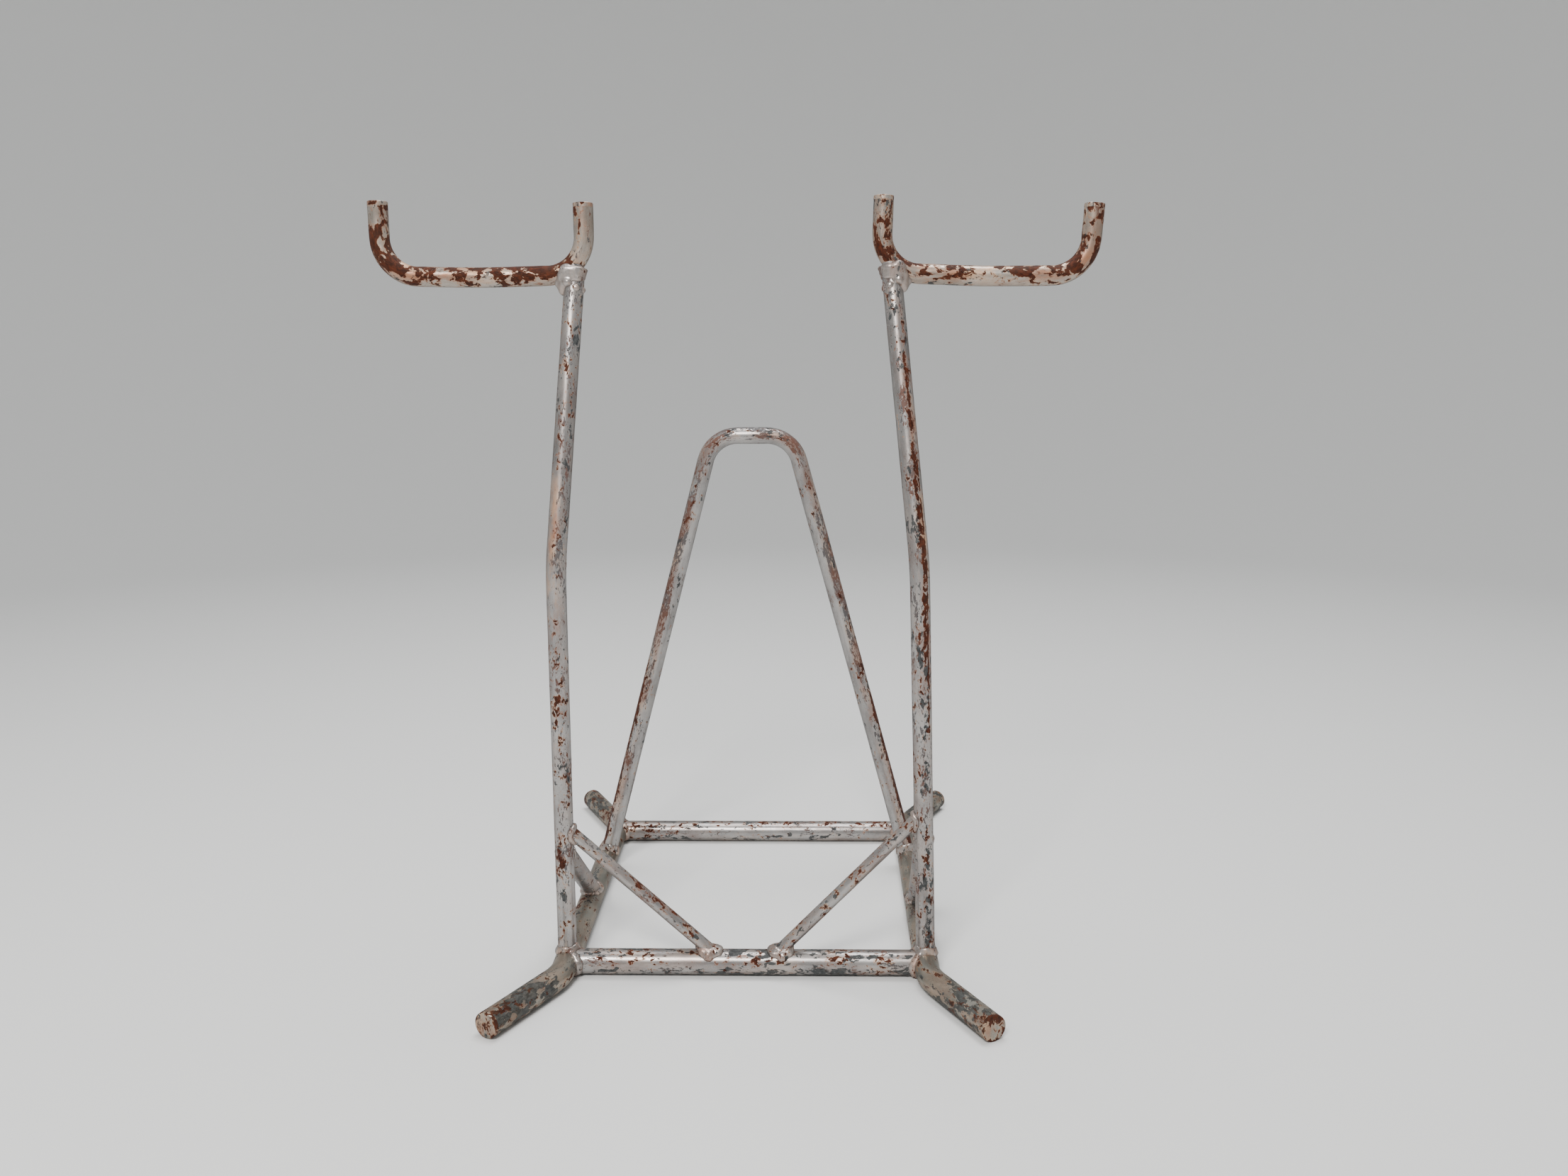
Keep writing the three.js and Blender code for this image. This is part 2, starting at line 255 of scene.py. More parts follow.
def wear_cross_front(point, normal):
    """Slate along the underside and the crown, rust on a stretch left of the middle, and painted shade
    darkening the very underside.
    """
    wear = plain_wear(len(point), speckle=0.12, stain=0.25)
    under = smooth(0.10, -0.30, normal[:, 2])
    over = smooth(0.50, 0.85, normal[:, 2])
    along = point[:, 0] - CENTRE_X
    upper = between(0.10, 0.55, normal[:, 2], 0.08)
    wear["slate"] = 0.05 + 0.44 * under + 0.28 * over + 0.10 * between(-0.03, 0.20, along)
    wear["rust"] = 0.01 + 0.13 * over + 0.08 * upper + 0.12 * between(-0.14, -0.04, along) * upper
    # Painted shade: the downward faces are darkened with the dirt's colours.
    wear["grime_and_underside_shade"] = 0.30 * smooth(-0.5, -0.98, normal[:, 2])
    return wear


def wear_cross_rear(point, normal):
    """Chips on the crown and the lower side, rust toward the ends, and painted shade darkening the very
    underside.
    """
    wear = plain_wear(len(point), speckle=0.10, stain=0.2)
    over = smooth(0.40, 0.85, normal[:, 2])
    under = between(-0.75, -0.1, normal[:, 2], 0.1)
    ends = smooth(0.11, 0.17, np.abs(point[:, 0] - CENTRE_X))
    wear["slate"] = 0.04 + 0.24 * over + 0.28 * under
    wear["rust"] = -0.02 + 0.26 * over + 0.20 * ends
    # Painted shade: the downward faces are darkened with the dirt's colours.
    wear["grime_and_underside_shade"] = 0.3 * smooth(-0.5, -0.98, normal[:, 2])
    return wear


def wear_hoop(point, normal):
    """Fine specks on what faces out and forward, and a rusty stripe low on the outside of each leg."""
    wear = plain_wear(len(point))
    side = np.sign(point[:, 0] - CENTRE_X)
    outward = normal[:, 0] * side
    leg = 1 - smooth(0.47, 0.525, point[:, 2])
    low = 1 - smooth(0.20, 0.32, point[:, 2])
    face = smooth(-0.35, 0.25, outward) * smooth(-0.75, 0.05, -normal[:, 1])
    over = smooth(-0.35, 0.45, normal[:, 2] - 0.4 * normal[:, 1])
    exposed = np.maximum(face * leg, (1 - leg) * over)
    stripe = smooth(0.45, 0.85, outward) * low
    wear["speckle"] = 0.62 * exposed * (1 - 0.4 * low)
    wear["rust"] = -0.06 + 0.12 * exposed + 0.85 * stripe
    wear["slate"] = -0.06 + 0.14 * exposed + 0.12 * smooth(0.5, 0.9, outward) * leg
    wear["stain"] = 0.55 * exposed + 0.4 * stripe
    return wear


def wear_upright_left(point, normal):
    """Flakes on the front below the kink, slate up the right edge above it, and a stain between."""
    height = point[:, 2]
    wear = plain_wear(len(point))
    face = facing(normal, -10, 45)
    below_kink = between(0.25, 0.37, height) * face
    low = between(0.05, 0.25, height) * facing(normal, 5, 70)
    right_edge = between(0.46, 0.66, height) * facing(normal, 45, 24)
    wear["speckle"] = 0.12 + 0.14 * facing(normal, 0, 70)
    wear["rust"] = 0.01 + 0.22 * below_kink + 0.15 * low + 0.04 * face
    wear["slate"] = 0.01 + 0.30 * right_edge + 0.12 * below_kink + 0.12 * low
    wear["stain"] = 0.15 + 0.85 * between(0.36, 0.50, height) * facing(normal, -15, 45)
    return wear


def wear_upright_right(point, normal):
    """A band and a line of rust up the front and right, slate beside them, and flakes below them."""
    height = point[:, 2]
    wear = plain_wear(len(point))
    band = facing(normal, 20, 13) * between(0.32, 0.62, height, 0.02)
    line = facing(normal, 40, 6) * between(0.24, 0.52, height, 0.02)
    flakes = facing(normal, 14, 40) * (1 - smooth(0.31, 0.38, height))
    beside = facing(normal, -4, 24) * between(0.28, 0.66, height)
    top = facing(normal, 10, 50) * smooth(0.60, 0.65, height)
    wear["speckle"] = 0.16 + 0.12 * facing(normal, 0, 70)
    wear["rust"] = 0.02 + 0.72 * band + 0.62 * line + 0.20 * flakes + 0.14 * top
    wear["slate"] = 0.02 + 0.26 * beside + 0.38 * flakes + 0.08 * top
    wear["stain"] = 0.15 + 0.95 * facing(normal, 42, 36) * between(0.32, 0.66, height)
    return wear


def wear_cradle(side):
    """The left cradle is worst from its middle to the inner bend, the right one at its outer bend."""
    def wear_here(point, normal):
        bar = 1 - smooth(0.700, 0.715, point[:, 2])
        over = smooth(-0.35, 0.30, normal[:, 2] - 0.25 * normal[:, 1])
        inner_x, outer_x = (prong_foot_x(side, which) for which in ("inner", "outer"))
        share = np.clip((point[:, 0] - inner_x) / (outer_x - inner_x), 0, 1)
        bends = between(0.688, 0.722, point[:, 2], 0.01) * smooth(0.34, 0.42, np.abs(share - 0.5))
        if side["sign"] < 0:
            worst = between(0.03, 0.60, share, 0.06) * bar + 0.8 * between(0.90, 1.1, share) * (1 - bar)
        else:
            worst = smooth(0.62, 0.92, share) + 0.4 * between(0.25, 0.60, share, 0.06) * bar
        wear = plain_wear(len(point), speckle=0.16)
        wear["rust"] = 0.30 + bar * (0.16 * over - 0.16 * (1 - over)) + 0.12 * bends + 0.22 * worst
        wear["slate"] = 0.03 + 0.09 * (1 - bar)
        wear["stain"] = 0.40 + 0.60 * bar * smooth(-0.9, -0.1, normal[:, 2])
        return wear
    return wear_here


def wear_brace(point, normal):
    """Rust, a little more of it on the upper side."""
    over = smooth(-0.1, 0.5, normal[:, 2])
    wear = plain_wear(len(point), slate=0.07, speckle=0.16, stain=0.25)
    wear["rust"] = 0.17 + 0.10 * over
    return wear


def wear_side_brace(point, normal):
    return plain_wear(len(point), rust=0.10, slate=0.06, speckle=0.14, stain=0.4)


def wear_rail(point, normal):
    """The feet have lost much of their paint, and are rusty at the tips and dirty; the straight part's
    underside is darkened as painted shade.
    """
    beyond = np.maximum(FRONT_Y - FRONT_FOOT_START - point[:, 1], point[:, 1] - REAR_Y - REAR_FOOT_START)
    foot = smooth(0.0, 0.05, beyond)
    tip = smooth(0.07, 0.12, beyond)
    over = smooth(0.2, 0.8, normal[:, 2])
    wear = plain_wear(len(point), speckle=0.12)
    wear["rust"] = 0.06 + 0.14 * foot + 0.18 * tip - 0.04 * foot * over
    wear["slate"] = 0.04 + 0.54 * foot
    wear["stain"] = 0.3 + 0.1 * foot
    # Real dirt on the feet, and painted shade on the underside of the straight part.
    wear["grime_and_underside_shade"] = 0.35 * foot + 0.25 * smooth(0.0, -0.9, normal[:, 2]) * (1 - foot)
    return wear


def wear_cap(point, normal):
    """The rims of the end discs rust first, and those of the feet are the worst."""
    off = np.linalg.norm(point - point.mean(axis=0), axis=1)
    foot = 1 - smooth(0.1, 0.2, point[:, 2])
    wear = plain_wear(len(point), slate=0.05, speckle=0.2, stain=0.8)
    wear["rust"] = 0.12 + 0.18 * foot + (0.16 + 0.18 * foot) * smooth(0.72, 0.92, off / off.max())
    return wear


def wear_weld(point, normal):
    """The joints near the floor are the rustiest."""
    low = 1 - smooth(0.05, 0.12, point[:, 2])
    wear = plain_wear(len(point), speckle=0.14)
    wear["slate"] = 0.02 + 0.06 * low
    wear["rust"] = 0.03 + 0.14 * low
    wear["stain"] = 0.30 + 0.30 * low
    return wear


# ------------------------------------------------------------------ the tubes of the stand

def rail_corners(side):
    name, sign = side["name"], side["sign"]
    corners = []
    for end, way, node_end in ((-1, -1, "front"), (1, 1, "rear")):
        along = Vector((sign * math.sin(FOOT_SPLAY), way * math.cos(FOOT_SPLAY), 0))
        tip = middle(f"foot_cap_{name}_{node_end}")
        knee = rail_point(side, FRONT_Y - FRONT_OVERHANG if end < 0 else REAR_Y + REAR_OVERHANG)
        tip = Vector((tip.x, tip.y, BASE_HEIGHT)) - along * (CAP_THICKNESS / 2)
        corners += [tip, knee] if end < 0 else [knee, tip]
    return corners


def cradle_corners(side):
    y = middle(f"cradle_{side['name']}").y
    below = Vector((0, 0, CAP_THICKNESS))
    inner = Vector((prong_foot_x(side, "inner"), y, SEAT_HEIGHT))
    outer = Vector((prong_foot_x(side, "outer"), y, SEAT_HEIGHT - side["bar_drop"]))
    sagged = (inner + outer) / 2 - Vector((0, 0, BAR_SAG))
    return [prong_tip(side, "inner") - below, inner, sagged, outer, prong_tip(side, "outer") - below]


def upright_corners(side):
    name, sign = side["name"], side["sign"]
    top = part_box(f"upright_{name}")[1].z
    return [
        rail_point(side, FRONT_Y + UPRIGHT_SETBACK),
        Vector((CENTRE_X + sign * KINK_GAUGE / 2 - KINK_LEAN, FRONT_Y - KINK_FORWARD, KINK_HEIGHT)),
        Vector((prong_foot_x(side, "inner") + sign * UPRIGHT_TOP_OUTSET,
                middle(f"cradle_{name}").y, top)),
    ]


def point_on_upright(side, height):
    foot, kink, _ = upright_corners(side)
    return foot.lerp(kink, (height - foot.z) / (kink.z - foot.z))


def hoop_corners():
    low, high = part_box("hoop")
    foot_y, top_y = high.y - FRAME_R, low.y + FRAME_R
    top = high.z - FRAME_R
    half = HOOP_SHOULDER / 2
    return [
        rail_point(SIDES[0], foot_y),
        Vector((CENTRE_X - half, top_y, top)),
        Vector((CENTRE_X + half, top_y, top)),
        rail_point(SIDES[1], foot_y),
    ]


def cross_corners(y):
    return [rail_point(side, y) for side in SIDES]


def all_members():
    made = [
        Member("front_cross_tube", "paint", cross_corners(FRONT_Y), [], MAIN_R, wear_cross_front),
        Member("rear_cross_tube", "paint", cross_corners(REAR_Y), [], MAIN_R, wear_cross_rear),
        Member("hoop", "paint", hoop_corners(), [HOOP_BEND, HOOP_BEND], FRAME_R, wear_hoop),
    ]
    for side in SIDES:
        name, sign = side["name"], side["sign"]
        upright_wear = wear_upright_left if sign < 0 else wear_upright_right
        front_foot = Vector((CENTRE_X + sign * FRONT_BRACE_FOOT, FRONT_Y, BASE_HEIGHT))
        side_foot = rail_point(side, FRONT_Y + side["side_foot"])
        made += [
            Member(f"rail_{name}", "worn_paint", rail_corners(side),
                   [FOOT_BEND, FOOT_BEND], MAIN_R, wear_rail),
            Member(f"cradle_{name}", "rusty_paint", cradle_corners(side),
                   [CRADLE_BEND, BAR_SAG_BEND, CRADLE_BEND], FRAME_R, wear_cradle(side)),
            Member(f"upright_{name}", "paint", upright_corners(side),
                   [KINK_BEND], FRAME_R, upright_wear, SEAT_HEIGHT + SUNK_ABOVE_BAR),
            Member(f"front_brace_{name}", "paint", [front_foot, point_on_upright(side, side["front_top"])],
                   [], BRACE_R, wear_brace),
            Member(f"side_brace_{name}", "paint", [side_foot, point_on_upright(side, side["side_top"])],
                   [], FRAME_R, wear_side_brace),
        ]
    return {member.node: member for member in made}


# ------------------------------------------------------------------ meshes

def evenly(points, step):
    """The same line with more points, none further apart than step."""
    line = [points[0]]
    for start, end in zip(points, points[1:]):
        count = max(1, math.ceil((end - start).length / step))
        line += [start.lerp(end, i / count) for i in range(1, count + 1)]
    return line


def rings_along(points):
    """Point, two cross directions and the change of heading there, for each ring of a tube."""
    headings = []
    for i in range(len(points)):
        before, after = points[max(i - 1, 0)], points[min(i + 1, len(points) - 1)]
        headings.append((after - before).normalized())
    spare = Vector((0, 0, 1)) if abs(headings[0].z) < 0.9 else Vector((0, 1, 0))
    across = (spare - headings[0] * spare.dot(headings[0])).normalized()
    rings = []
    for i, (point, heading) in enumerate(zip(points, headings)):
        across = (across - heading * across.dot(heading)).normalized()
        turn = headings[min(i + 1, len(points) - 1)] - headings[max(i - 1, 0)]
        rings.append((point, across, heading.cross(across), turn))
    return rings


def tube_arrays(member, seed):
    """Vertices, faces, stock coordinates (in the tube's own frame) and normals of one dented tube."""
    sides = 56 if member.radius > FRAME_R else 44
    points = evenly(member.line(), RING_STEP)
    rings = rings_along(points)
    run = np.concatenate([[0], np.cumsum([(b - a).length for a, b in zip(points, points[1:])])])
    vertices, normals, stock = [], [], []
    for (point, across, over, turn), s in zip(rings, run):
        sharp = min(turn.length / SHARP_TURN, 1.0)
        bend_way = turn.normalized() if turn.length > 1e-6 else across
        sunk = 0.0
        if member.sunk_from:
            depth = float(smooth(0, SUNK_LENGTH, point.z - member.sunk_from))
            sunk = SUNK_SHARE * member.radius * depth
        for j in range(sides):
            angle = 2 * math.pi * j / sides
            out = across * math.cos(angle) + over * math.sin(angle)
            place = point + out * member.radius
            dent = noise.noise(place * DENT_SCALE + Vector((seed, 0, 0))) * DENT_DEPTH
            pit = noise.noise(place * PIT_SCALE + Vector((0, seed, 0))) * PIT_DEPTH
            squeezed = BEND_SQUEEZE * member.radius * sharp * out.dot(bend_way) ** 2
            reach = member.radius - SKIN_INSET + dent + pit - squeezed - sunk
            vertices.append(point + out * reach)
            normals.append(out)
            stock.append((member.radius * math.cos(angle), member.radius * math.sin(angle), s))
    faces = []
    for i in range(len(rings) - 1):
        for j in range(sides):
            a, b = i * sides + j, i * sides + (j + 1) % sides
            faces.append((a, b, b + sides, a + sides))
    first = list(range(sides))
    last = [(len(rings) - 1) * sides + j for j in range(sides)]
    faces += [tuple(reversed(first)), tuple(last)]
    offset = np.array([0.31 * seed, 0.17 * seed, 0.73 * seed])
    return vertices, faces, np.array(stock) + offset, np.array(normals)


def make_piece(name, nodes, vertices, faces, stock, normals, wear, slot, materials):
    """A piece that stands for these nodes: its mesh, kept inside the frame's box, its wear and its slot."""
    mesh = bpy.data.meshes.new(name)
    mesh.from_pydata([tuple(v) for v in vertices], [], faces)
    points = np.array([tuple(v) for v in vertices])
    points = np.clip(points, np.array(cad_box[0]), np.array(cad_box[1]))
    mesh.vertices.foreach_set("co", points.ravel())
    layer = mesh.attributes.new("stock", "FLOAT_VECTOR", "POINT")
    layer.data.foreach_set("vector", np.asarray(stock, float).ravel())
    for key, values in wear(points, normals).items():
        layer = mesh.attributes.new(key, "FLOAT", "POINT")
        layer.data.foreach_set("value", np.asarray(values, float))
    mesh.update()
    fix = bmesh.new()
    fix.from_mesh(mesh)
    bmesh.ops.recalc_face_normals(fix, faces=fix.faces)
    fix.to_mesh(mesh)
    fix.free()
    mesh.polygons.foreach_set("use_smooth", [True] * len(mesh.polygons))
    mesh.set_sharp_from_angle(angle=math.radians(50))
    mesh.materials.append(materials[slot])
    piece = bpy.data.objects.new(name, mesh)
    bpy.context.scene.collection.objects.link(piece)
    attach(piece, "root")
    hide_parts(*nodes)


def make_tube(member, seed, materials):
    vertices, faces, stock, normals = tube_arrays(member, seed)
    make_piece(f"{member.node}_skin", [member.node], vertices, faces, stock, normals,
               member.wear, member.slot, materials)


def make_cap(node, tip, outward, radius, seed, slot, materials):
    """The disc welded into a tube's end: a shallow dish with a rounded, uneven rim."""
    sides = 48
    across = outward.orthogonal().normalized()
    over = outward.cross(across)
    profile = [  # share of the radius, height above the tip
        (0.22, -0.00035), (0.45, -0.00030), (0.66, -0.00022), (0.80, -0.00008), (0.90, -0.00002),
        (0.955, -0.00018), (0.985, -0.00062), (0.992, -0.0012), (0.992, -CAP_THICKNESS - 0.0015),
    ]
    vertices, normals = [tip - outward * 0.0004], [outward]
    for share, height in profile:
        for j in range(sides):
            angle = 2 * math.pi * j / sides
            out = across * math.cos(angle) + over * math.sin(angle)
            wobble = 1 + 0.006 * noise.noise(out * 2.2 + Vector((seed, 0, 0)))
            lump = min(0.0, 0.00018 * noise.noise(out * 3.1 + Vector((share * 4, seed, 0))))
            vertices.append(tip + out * (radius * share * min(wobble, 1.0)) + outward * (height + lump))
            normals.append(outward if share < 0.97 else out)
    faces = [(0, 1 + j, 1 + (j + 1) % sides) for j in range(sides)]
    for i in range(len(profile) - 1):
        for j in range(sides):
            a, b = 1 + i * sides + j, 1 + i * sides + (j + 1) % sides
            faces.append((a, a + sides, b + sides, b))
    faces.append(tuple(1 + (len(profile) - 1) * sides + j for j in range(sides)))
    stock = np.array([tuple(v) for v in vertices]) + 0.37 * seed
    normals = np.array([tuple(n) for n in normals])
    make_piece(f"{node}_skin", [node], vertices, faces, stock, normals, wear_cap, slot, materials)


# ------------------------------------------------------------------ welds

class Branch:
    """A straight end of tube that stands on other tubes: where it starts and which way it leaves."""

    def __init__(self, origin, toward, radius):
        self.origin = origin
        self.way = (toward - origin).normalized()
        self.radius = radius


def nearest_on_line(places, line):
    """Distance from each place to a line of points, and the closest place on it."""
    best = np.full(len(places), 1e9)
    closest = np.zeros_like(places)
    for a, b in zip(line, line[1:]):
        a, b = np.array(a), np.array(b)
        share = np.clip(((places - a) @ (b - a)) / ((b - a) @ (b - a)), 0, 1)
        spot = a + share[:, None] * (b - a)
        distance = np.linalg.norm(places - spot, axis=1)
        nearer = distance < best
        best[nearer] = distance[nearer]
        closest[nearer] = spot[nearer]
    return best, closest


def seam(branch, hosts, count=120, reach=0.07):
    """Points where the branch's outside leaves its hosts, with its own and the hosts' normals there."""
    across = branch.way.orthogonal().normalized()
    over = branch.way.cross(across)
    travel = np.linspace(0, reach, round(reach / SEAM_STEP) + 1)
    points, own, host_normals = [], [], []
    for j in range(count):
        angle = 2 * math.pi * j / count
        out = across * math.cos(angle) + over * math.sin(angle)
        start = np.array(branch.origin + out * branch.radius)
        places = start + travel[:, None] * np.array(branch.way)
        leaves, normal = 0, np.array(out)
        for host in hosts:
            distance, closest = nearest_on_line(places, host.line())
            inside = np.nonzero(distance < host.radius)[0]
            if len(inside) and inside[-1] >= leaves:
                leaves = inside[-1]
                normal = (places[leaves] - closest[leaves]) / host.radius
        points.append(Vector(places[leaves]))
        own.append(out)
        host_normals.append(Vector(normal))
    return points, own, host_normals


def bead_ring(bm, centres, outs, sizes):
    """A closed lumpy rope along the centres."""
    count, round_steps = len(centres), 12
    rows = []
    for i in range(count):
        along = (centres[(i + 1) % count] - centres[i - 1]).normalized()
        out = (outs[i] - along * outs[i].dot(along)).normalized()
        over = along.cross(out)
        row = []
        for k in range(round_steps):
            angle = 2 * math.pi * k / round_steps
            spot = centres[i] + (out * math.cos(angle) + over * math.sin(angle)) * sizes[i]
            row.append(bm.verts.new(spot))
        rows.append(row)
    for i in range(count):
        for k in range(round_steps):
            a, b = rows[i], rows[(i + 1) % count]
            bm.faces.new((a[k], a[(k + 1) % round_steps], b[(k + 1) % round_steps], b[k]))


def blob(bm, centre, size):
    """A ball of metal."""
    start = len(bm.verts)
    bmesh.ops.create_icosphere(bm, subdivisions=2, radius=size)
    bm.verts.ensure_lookup_table()
    for v in bm.verts[start:]:
        v.co = v.co + centre


def bead_sizes(own, swell, ripples, leg, heavy):
    """How thick a bead is at each point of its seam."""
    count = len(own)
    sizes = []
    for i, (out, w) in enumerate(zip(own, swell)):
        ripple = math.cos(2 * math.pi * ripples * i / count + 2 * w)
        sizes.append(leg * (0.98 + BEAD_SWELL * w + BEAD_RIPPLE * ripple) * (1 + out.dot(heavy)))
    return sizes


def weld_mesh(seams, leg, climb, lift, heavy, seed, ripples, blobs):
    """One mesh round all the seams of a joint: ropes of bead and blobs, fused and then softened."""
    bm = bmesh.new()
    for branch, (points, own, host_normals) in seams:
        count = len(points)
        outs = [(a + b).normalized() for a, b in zip(own, host_normals)]
        swell = []
        for i in range(count):
            angle = 2 * math.pi * i / count
            swell.append(noise.noise(Vector((math.cos(angle), math.sin(angle), seed)) * 1.6))
        sizes = bead_sizes(own, swell, ripples, leg, heavy)
        for share in (0.0, 0.5, 1.0):
            aside = leg * 0.12 * (1 - 2 * share)
            centres = [
                p + branch.way * leg * (lift + climb * share * (1 + 0.2 * w)) + out * aside
                for p, out, w in zip(points, outs, swell)
            ]
            bead_ring(bm, centres, own, [(1 - BEAD_TAPER * share) * size for size in sizes])
    for centre, size in blobs:
        blob(bm, centre, size)
    mesh = bpy.data.meshes.new("weld")
    bm.to_mesh(mesh)
    bm.free()
    rough = bpy.data.objects.new("weld", mesh)
    bpy.context.scene.collection.objects.link(rough)
    remesh = rough.modifiers.new("fuse", "REMESH")
    remesh.mode = "VOXEL"
    remesh.voxel_size = VOXEL
    soften = rough.modifiers.new("soften", "SMOOTH")
    soften.iterations = SOFTEN_STEPS
    soften.factor = 0.5
    fused = bpy.data.meshes.new_from_object(rough.evaluated_get(bpy.context.evaluated_depsgraph_get()))
    bpy.data.objects.remove(rough)
    bpy.data.meshes.remove(mesh)
    return fused


def make_weld(node, seams, leg, climb, lift, heavy, seed, ripples, blobs, materials):
    fused = weld_mesh(seams, leg, climb, lift, heavy, seed, ripples, blobs)
    shift = Vector((seed * 3.1, seed * 1.7, 0))
    vertices, normals = [], []
    for v in fused.vertices:
        crust = noise.noise(v.co * CRUST_SCALE + shift) * CRUST_DEPTH
        grit = noise.noise(v.co * GRIT_SCALE + shift) * GRIT_DEPTH
        vertices.append(v.co + v.normal * (crust + grit))
        normals.append(tuple(v.normal))
    faces = [tuple(p.vertices) for p in fused.polygons]
    stock = np.array([tuple(v) for v in vertices]) + 0.41 * seed
    bpy.data.meshes.remove(fused)
    normals = np.array(normals)
    make_piece(f"{node}_skin", [node], vertices, faces, stock, normals, wear_weld, "weld", materials)


def collar_lumps(side, upright):
    """The metal heaped under a cradle's bar, most of it on the outer side."""
    kink, top = upright.corners[1:]
    lumps = []
    for below_bar, out, front, size in COLLAR_LUMPS:
        axis = kink.lerp(top, (SEAT_HEIGHT - below_bar - kink.z) / (top.z - kink.z))
        lumps.append((axis + Vector((side["sign"] * out, -front, 0)), size))
    return lumps


def slide_down(branch, points, limit):
    """The same points, none above the limit: the higher ones are moved along the branch."""
    return [p + branch.way * (max(0.0, p.z - limit) / -branch.way.z) for p in points]


def knob_lumps(brace):
    """A front brace ends in a round knob on the front of the cross tube's upper side."""
    foot = brace.corners[0]
    aside = Vector((brace.corners[1].x - foot.x, 0, 0)).normalized()
    return [(foot + aside * out + Vector((0, -front, up)), size) for out, front, up, size in KNOB_LUMPS]


def start_of(member):
    return Branch(member.corners[0], member.corners[1], member.radius)


def end_of(member):
    return Branch(member.corners[-1], member.corners[-2], member.radius)


def weld_jobs(members, side):
    """Each joint of one side: label, branches and their hosts, bead size, climb and lift, ripples.

    Climb is how far up the branch the ropes reach, and lift how far up it they start, in bead sizes.
    """
    rail, cradle, upright, front_brace, side_brace = (
        members[f"{label}_{side['name']}"]
        for label in ("rail", "cradle", "upright", "front_brace", "side_brace")
    )
    front, rear, hoop = members["front_cross_tube"], members["rear_cross_tube"], members["hoop"]
    cross_end = start_of if side["sign"] < 0 else end_of
    front_corner = [(start_of(upright), [rail, front]), (cross_end(front), [rail])]
    return [
        ("front_corner", front_corner, 0.0032, 1.3, 0, 13),
        ("rear_corner", [(cross_end(rear), [rail])], 0.0032, 1.2, 0, 13),
        ("hoop_foot", [(cross_end(hoop), [rail])], 0.0034, 2.0, 0, 11),
        ("cradle", [(end_of(upright), [cradle])], 0.0048, 1.7, 0, 5),
        ("front_brace_foot", [(start_of(front_brace), [front])], 0.0040, 1.4, 0, 7),
        ("front_brace_top", [(end_of(front_brace), [upright])], 0.0030, 0.8, 0.2, 9),
        ("side_brace_foot", [(start_of(side_brace), [rail])], 0.0033, 1.4, 0, 13),
        ("side_brace_top", [(end_of(side_brace), [upright])], 0.0014, 1.6, 1.4, 11),
    ]


def spatter(branch, points, own, seed, leg):
    """Two small balls of metal stuck to the branch beside its bead."""
    balls = []
    for k in range(2):
        i = int((0.13 + 0.618 * (k + seed)) % 1.0 * len(points))
        size = leg * (0.20 + 0.08 * ((k * 7 + seed) % 3))
        balls.append((points[i] + own[i] * size * 0.2 + branch.way * leg * 1.5, size))
    return balls


# ------------------------------------------------------------------ materials

class Nodes:
    """Short calls that add nodes to a material and join them."""

    def __init__(self, name):
        self.material = bpy.data.materials.new(name)
        self.material.use_nodes = True
        self.tree = self.material.node_tree
        self.shader = self.tree.nodes["Principled BSDF"]

    def new(self, kind, **settings):
        node = self.tree.nodes.new(kind)
        for key, value in settings.items():
            setattr(node, key, value)
        return node

    def link(self, source, target):
        if isinstance(source, (int, float)):
            target.default_value = source
        else:
            self.tree.links.new(source, target)

    def attribute(self, name, output="Fac"):
        return self.new("ShaderNodeAttribute", attribute_name=name).outputs[output]

    def stretched(self, vector, scale, offset):
        node = self.new("ShaderNodeMapping")
        self.link(vector, node.inputs["Vector"])
        node.inputs["Scale"].default_value = scale
        node.inputs["Location"].default_value = (offset, offset * 0.7, offset * 1.3)
        return node.outputs["Vector"]

    def noise(self, vector, scale, detail=4.0, roughness=0.55, distortion=0.0):
        node = self.new("ShaderNodeTexNoise")
        self.link(vector, node.inputs["Vector"])
        node.inputs["Scale"].default_value = scale
        node.inputs["Detail"].default_value = detail
        node.inputs["Roughness"].default_value = roughness
        node.inputs["Distortion"].default_value = distortion
        return node.outputs["Fac"]

    def math(self, operation, a, b=0.0, c=0.0):
        node = self.new("ShaderNodeMath", operation=operation)
        for source, target in zip((a, b, c), node.inputs):
            self.link(source, target)
        return node.outputs[0]

    def ramp_between(self, value, low, high):
        """0 at low, 1 at high; low and high are numbers or sockets."""
        node = self.new("ShaderNodeMapRange", interpolation_type="SMOOTHSTEP")
        self.link(value, node.inputs["Value"])
        self.link(low, node.inputs["From Min"])
        self.link(high, node.inputs["From Max"])
        return node.outputs["Result"]

    def mix(self, share, a, b):
        node = self.new("ShaderNodeMix", data_type="RGBA")
        self.link(share, node.inputs["Factor"])
        for source, target in ((a, node.inputs["A"]), (b, node.inputs["B"])):
            if isinstance(source, tuple):
                target.default_value = (*source, 1.0)
            else:
                self.tree.links.new(source, target)
        return node.outputs["Result"]

    def blend(self, share, a, b):
        node = self.new("ShaderNodeMix", data_type="FLOAT")
        self.link(share, node.inputs["Factor"])
        self.link(a, node.inputs["A"])
        self.link(b, node.inputs["B"])
        return node.outputs["Result"]


def clustered(n, stock, scale, stretch, offset):
    """Ragged flakes that come in groups: a fine noise on a coarse one."""
    fine = n.noise(n.stretched(stock, (1, 1, stretch), offset), scale, 8, 0.61, 0.4)
    coarse = n.noise(n.stretched(stock, (1, 1, stretch), offset * 1.7), scale * 0.26, 3, 0.55, 0.3)
    return n.math("MULTIPLY_ADD", fine, 0.65, n.math("MULTIPLY", coarse, 0.35))


